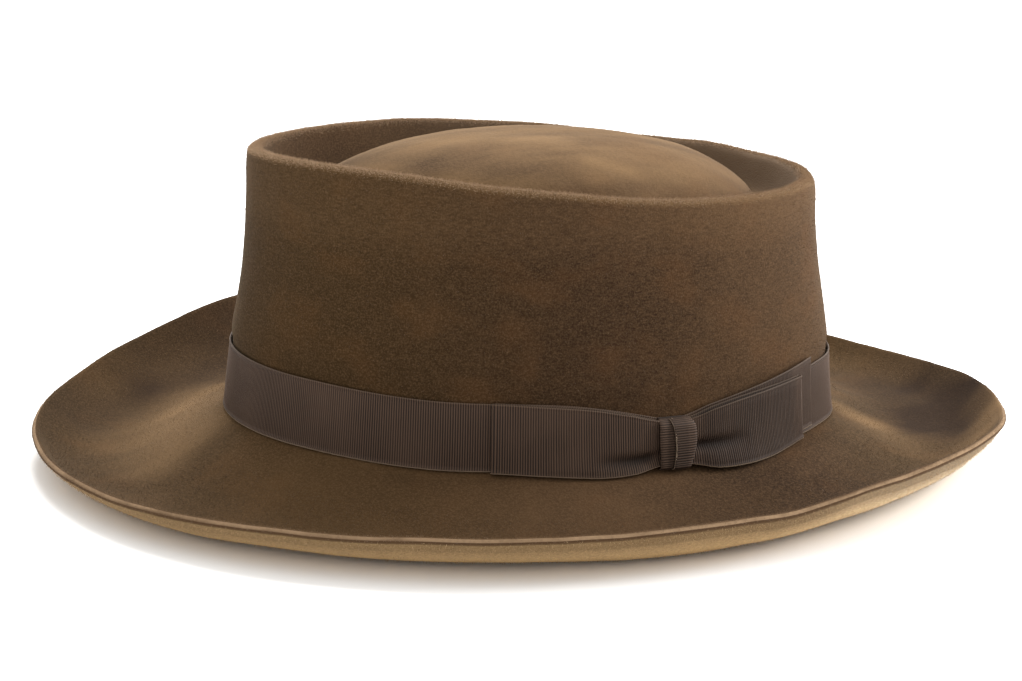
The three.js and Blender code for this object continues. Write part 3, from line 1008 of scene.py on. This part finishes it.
def grow_nap(name, seed, length, count, colour, paint):
    """About as many hairs as count over the felt where paint(point, normal) is 1."""
    material, _, _ = new_material(
        name, Base_Color=colour, Roughness=1, Specular_IOR_Level=0.1, Sheen_Weight=0.1
    )
    piece = bpy.data.objects.new(name, felt.data.copy())
    bpy.context.scene.collection.objects.link(piece)
    painted = piece.data.attributes.new("nap", "FLOAT", "POINT")
    shares = [float(paint(v.co, v.normal)) for v in felt.data.vertices]
    painted.data.foreach_set("value", shares)
    area = sum(
        face.area * sum(shares[i] for i in face.vertices) / len(face.vertices)
        for face in felt.data.polygons
    )
    piece.data.materials.clear()
    group = scatter(name, seed, length, count / area, material)
    finish_with(piece, "NODES", node_group=group)
    hairs = len(piece.data.polygons) // FACES_A_HAIR
    assert 0 < hairs < HAIR_LIMIT, f"{name} has {hairs} hairs"
    print(name, "hairs:", hairs, "on", round(area / MM ** 2), "mm2")
    return piece


print("no nap may have more than", HAIR_LIMIT, "hairs")

# %% [markdown]
# Where a nap grows is painted by place and normal: on top of the crown's rim, on the brim's
# edge, and under it near the edge, where the pale fuzz shows against the light. The masks fade
# out with the felt's slope, because a nap that stops at a line looks like a stuck-on patch.

# %% Nap: rim, edge and underside
def crown_share(point):
    """1 on the crown's outer wall near its rim, less towards its middle."""
    return math.hypot(point.x / CROWN_HALF_WIDTH, (point.y - MIDDLE.y) / CROWN_HALF_LENGTH)


def rising(value, low, high):
    """0 under low, 1 over high, and smooth between."""
    share = min(max((value - low) / (high - low), 0), 1)
    return share * share * (3 - 2 * share)


def facing_out(point, normal):
    return normal.dot((point - MIDDLE).normalized())


def on_rim(point, normal):
    top = point.z > 84 * MM and 0.93 < crown_share(point) < 1.05
    return top * rising(normal.z, 0.3, 0.9)


def on_edge(point, normal):
    if brim_share(point) < 0.98 or facing_out(point, normal) < 0:
        return 0
    return rising(brim_share(point), 0.99, 0.998) * rising(normal.z, 0.2, 0.6)


def under_brim(point, normal):
    clear = rising(point.z, 1.5 * MM, 2.5 * MM)
    return clear * rising(brim_share(point), 0.86, 0.95) * rising(-normal.z, 0.1, 0.6)


top_point = max((vertex.co for vertex in felt.data.vertices), key=lambda point: point.z)
print("the highest felt lies at", round(crown_share(top_point), 2), "of the crown's oval")

# %% [markdown]
# The crown's wall and the brim have a sparser nap. On the brim it keeps clear of the strokes of
# painted light and painted shade, and the painted light strokes get a paler nap of their own, also
# painted light.

# %% Nap: crown, brim and strokes
def off_stroke(point, line):
    """How far a point is from a stroke's line, in the line's half widths."""
    start, end = Vector(line[0:2]) * MM, Vector(line[2:4]) * MM
    run = end - start
    share = min(max((point.xy - start).dot(run) / run.length_squared, 0), 1)
    return (point.xy - start - run * share).length / (line[4] * MM)


def on_crown(point, normal):
    if facing_out(point, normal) < 0 or not 0.75 < crown_share(point) < 1.06:
        return 0
    return rising(point.z, 14 * MM, 20 * MM) * rising(normal.z, -0.5, -0.3)


def on_brim(point, normal):
    if not 0.72 < brim_share(point) < 0.985 or normal.z < 0:
        return 0
    return rising(min(off_stroke(point, line) for line in PAINTED_LIGHT_STROKES + PAINTED_SHADE_STROKES), 0.7, 1.2)


def on_streak(point, normal):
    if not 0.6 < brim_share(point) < 0.985 or normal.z < 0.4 or point.z > 25 * MM:
        return 0
    return 1 - rising(min(off_stroke(point, line) for line in PAINTED_LIGHT_STROKES), 0.4, 1)


print("strokes that the brim's nap keeps clear of:", len(PAINTED_LIGHT_STROKES + PAINTED_SHADE_STROKES))

# %% [markdown]
# Six naps grow on the hat. Each has its own seed, so that no two lie alike, and its length and
# colour: brown where the felt is brown; pale on the rim, warm on the brim's edge, golden under the
# brim and paler on the painted light strokes, as painted light for the light that the real fuzz
# catches.

# %% Nap: the six of them
NAP_RIM_LIT = (0.3, 0.2, 0.12, 1)
NAP_BROWN = (0.085, 0.05, 0.026, 1)
NAP_EDGE_LIT = (0.17, 0.11, 0.065, 1)
NAP_STROKE_LIT = (0.19, 0.118, 0.058, 1)
NAP_UNDER_LIT = (0.38, 0.26, 0.14, 1)
naps = [
    grow_nap("nap_rim", 1, 1.0 * MM, 34000, NAP_RIM_LIT, on_rim),
    grow_nap("nap_edge", 2, 0.6 * MM, 8000, NAP_EDGE_LIT, on_edge),
    grow_nap("nap_crown", 3, 0.9 * MM, 34000, NAP_BROWN, on_crown),
    grow_nap("nap_brim", 4, 0.9 * MM, 34000, NAP_BROWN, on_brim),
    grow_nap("nap_under", 5, 0.8 * MM, 16000, NAP_UNDER_LIT, under_brim),
    grow_nap("nap_streak", 6, 0.8 * MM, 8000, NAP_STROKE_LIT, on_streak),
]

# %% [markdown]
# Ribbon as a material
#
# The ribs are real, so the material only adds what light does between threads: the hollows
# between ribs are darker, and fine threads run along. It reads the ribbon's own UV map, which
# counts ribs along the ribbon and goes from 0 to 1 across it, so the ribs stay in step.

# %% Ribbon material: ribs and threads
RIBBON_HOLLOW = (0.0085, 0.005, 0.0034, 1)
RIBBON_CREST = (0.088, 0.053, 0.035, 1)
RIBBON_EDGE = (0.12, 0.083, 0.054, 1)
RIBBON_WORN = (0.25, 0.185, 0.13, 1)

ribbon_material, board, shader = new_material(
    "ribbon", Roughness=0.7, Specular_IOR_Level=0.16,
    Sheen_Weight=0.06, Sheen_Roughness=0.25, Sheen_Tint=(1, 0.86, 0.7, 1),
)
weave = board.node("ShaderNodeUVMap", {"uv_map": "UVMap"})
object_place = board.node("ShaderNodeTexCoord", out=3)
along, over = weave.part(0), weave.part(1)
crest = board.maths("COSINE", along * (2 * math.pi)) * 0.5 + 0.5
threads = weave.noise(9, 2, stretch=(0.6, 9, 1))
fade = object_place.noise(45, 2)
tone = (crest * 0.95 + threads * 0.5 - 0.3).clamped().mixed(RIBBON_HOLLOW, RIBBON_CREST)
tone = (fade.between(0.35, 0.75) * 0.25).mixed(tone, RIBBON_CREST)
print("nodes for the weave:", len(board.tree.nodes))

# %% [markdown]
# Little light gets into the pleats beside the knot, and in the photograph the rear loop and the
# knot are darker too. They are found by their distance from the bow's middle.

# %% Ribbon material: the bow's shadows
aside = object_place.part(1) - (MIDDLE.y + BOW_MIDDLE)
bow_side = object_place.part(0).between(0, 0.02)
for side, pleat_at in ((0 - aside, FRONT_PLEAT), (aside, REAR_PLEAT)):
    reach = side.between(0.006, 0.009) * (1 - side.between(0.012, 0.032)) * bow_side
    shade = (1 - board.maths("ABSOLUTE", over - pleat_at).between(0.01, 0.16)) * reach
    tone = (shade * 0.8).mixed(tone, RIBBON_HOLLOW)
# painted shade: the rear loop darker as a whole
turned = aside.between(0.006, 0.012) * (1 - aside.between(0.048, 0.054))
tone = (turned * bow_side * 0.36).mixed(tone, RIBBON_HOLLOW)
on_knot = bow_side * (1 - board.maths("ABSOLUTE", aside).between(0.003, 0.004))
# painted shade: the knot darker
tone = (on_knot * 0.3).mixed(tone, RIBBON_HOLLOW)
print("nodes with the shadows:", len(board.tree.nodes))

# %% [markdown]
# Both woven edges are paler than the ribs. The lower one, and the one over the knot, are worn
# paler still, in short stretches. The threads also break up the ribbon's gloss.

# %% Ribbon material: woven edges
RIBBON_BUMP = {"Strength": 0.3, "Distance": 0.0001}

edge = 1 - board.maths("MINIMUM", over, 1 - over).between(0.008, 0.024)
upper = over.between(0.3, 0.7)
worn = edge * board.maths("MAXIMUM", 1 - upper, on_knot)
tone = (edge * (0.5 - upper * 0.25)).mixed(tone, RIBBON_EDGE)
tone = (worn * (threads * 0.6 + 0.5)).clamped().mixed(tone, RIBBON_WORN)
bumps = board.node("ShaderNodeBump", {}, {**RIBBON_BUMP, "Height": threads})
plug(board, shader, Base_Color=tone, Normal=bumps, Roughness=threads * 0.2 + 0.6)
for piece in (band, under_layer, front_loop, rear_loop, knot):
    piece.data.materials.append(ribbon_material)

# %% [markdown]
# Floor as a material
#
# A studio floor is matt and almost white. A faint wide mottle keeps it from looking drawn.

# %% Floor material
FLOOR_GREY, FLOOR_WHITE = (0.86, 0.86, 0.86, 1), (0.9, 0.9, 0.9, 1)

floor_material, board, shader = new_material("floor", Roughness=0.9, Specular_IOR_Level=0.2)
mottle = board.node("ShaderNodeTexCoord", out=3).noise(3, 2)
plug(board, shader, Base_Color=mottle.mixed(FLOOR_GREY, FLOOR_WHITE))
floor.data.materials.append(floor_material)

# %% [markdown]
# Light
#
# The photograph is lit as a white studio: light comes from all round. A large soft light stands
# high behind the hat, as the camera sees it, and a second one to its right.

# %% Light
ROOM_COLOUR, ROOM_STRENGTH = (1, 0.99, 0.97, 1), 1.3
HAT_MIDDLE = (0, 0, 0.05)  # in m, what the lights point at

world = bpy.data.worlds.new("studio")
bpy.context.scene.world = world
world.use_nodes = True
background = world.node_tree.nodes["Background"]
background.inputs["Color"].default_value = ROOM_COLOUR
background.inputs["Strength"].default_value = ROOM_STRENGTH


def softbox(name, place, size, power):
    clear_selection()
    bpy.ops.object.light_add(type="AREA", location=place)
    light = bpy.context.object
    light.name = name
    toward = Vector(HAT_MIDDLE) - Vector(place)
    light.rotation_euler = toward.to_track_quat("-Z", "Y").to_euler()
    light.data.size = size
    light.data.energy = power
    print(name, "stands", round(toward.length, 2), "m from the hat")


softbox("back_box", (-1.05, 0.55, 1.4), size=1.1, power=62)
softbox("right_box", (0.3, 1.5, 0.7), size=0.9, power=34)

# %% [markdown]
# Riding on the frame
#
# Each modelled piece takes the place of its node in the frame. The nap grows on the felt and
# stands for no node. Nothing on a hat moves by itself, so all of it rides on the one body.

# %% Riding on the frame
PIECES = {
    felt: ("felt_body", "felt"), band: ("band_ribbon", "ribbon"),
    under_layer: ("bow_under_layer", "ribbon"), front_loop: ("bow_front_loop", "ribbon"),
    rear_loop: ("bow_rear_loop", "ribbon"), knot: ("bow_knot", "ribbon"),
}
for piece, (node, slot) in PIECES.items():
    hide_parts(node)
    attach(piece, "root")
for piece in naps:
    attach(piece, "root")
print("pieces:", len(PIECES), "and naps:", len(naps))

# %% [markdown]
# The ribbons as cloth
#
# All five ribbons are cut from one grosgrain ribbon. The lengths of the band and of the knot's
# ribbon are printed.

# %% Ribbon lengths
print("band", round(ROUND / MM), "mm, knot", round(knot_steps[-1]), "mm of ribbon")

# %% [markdown]
# The end
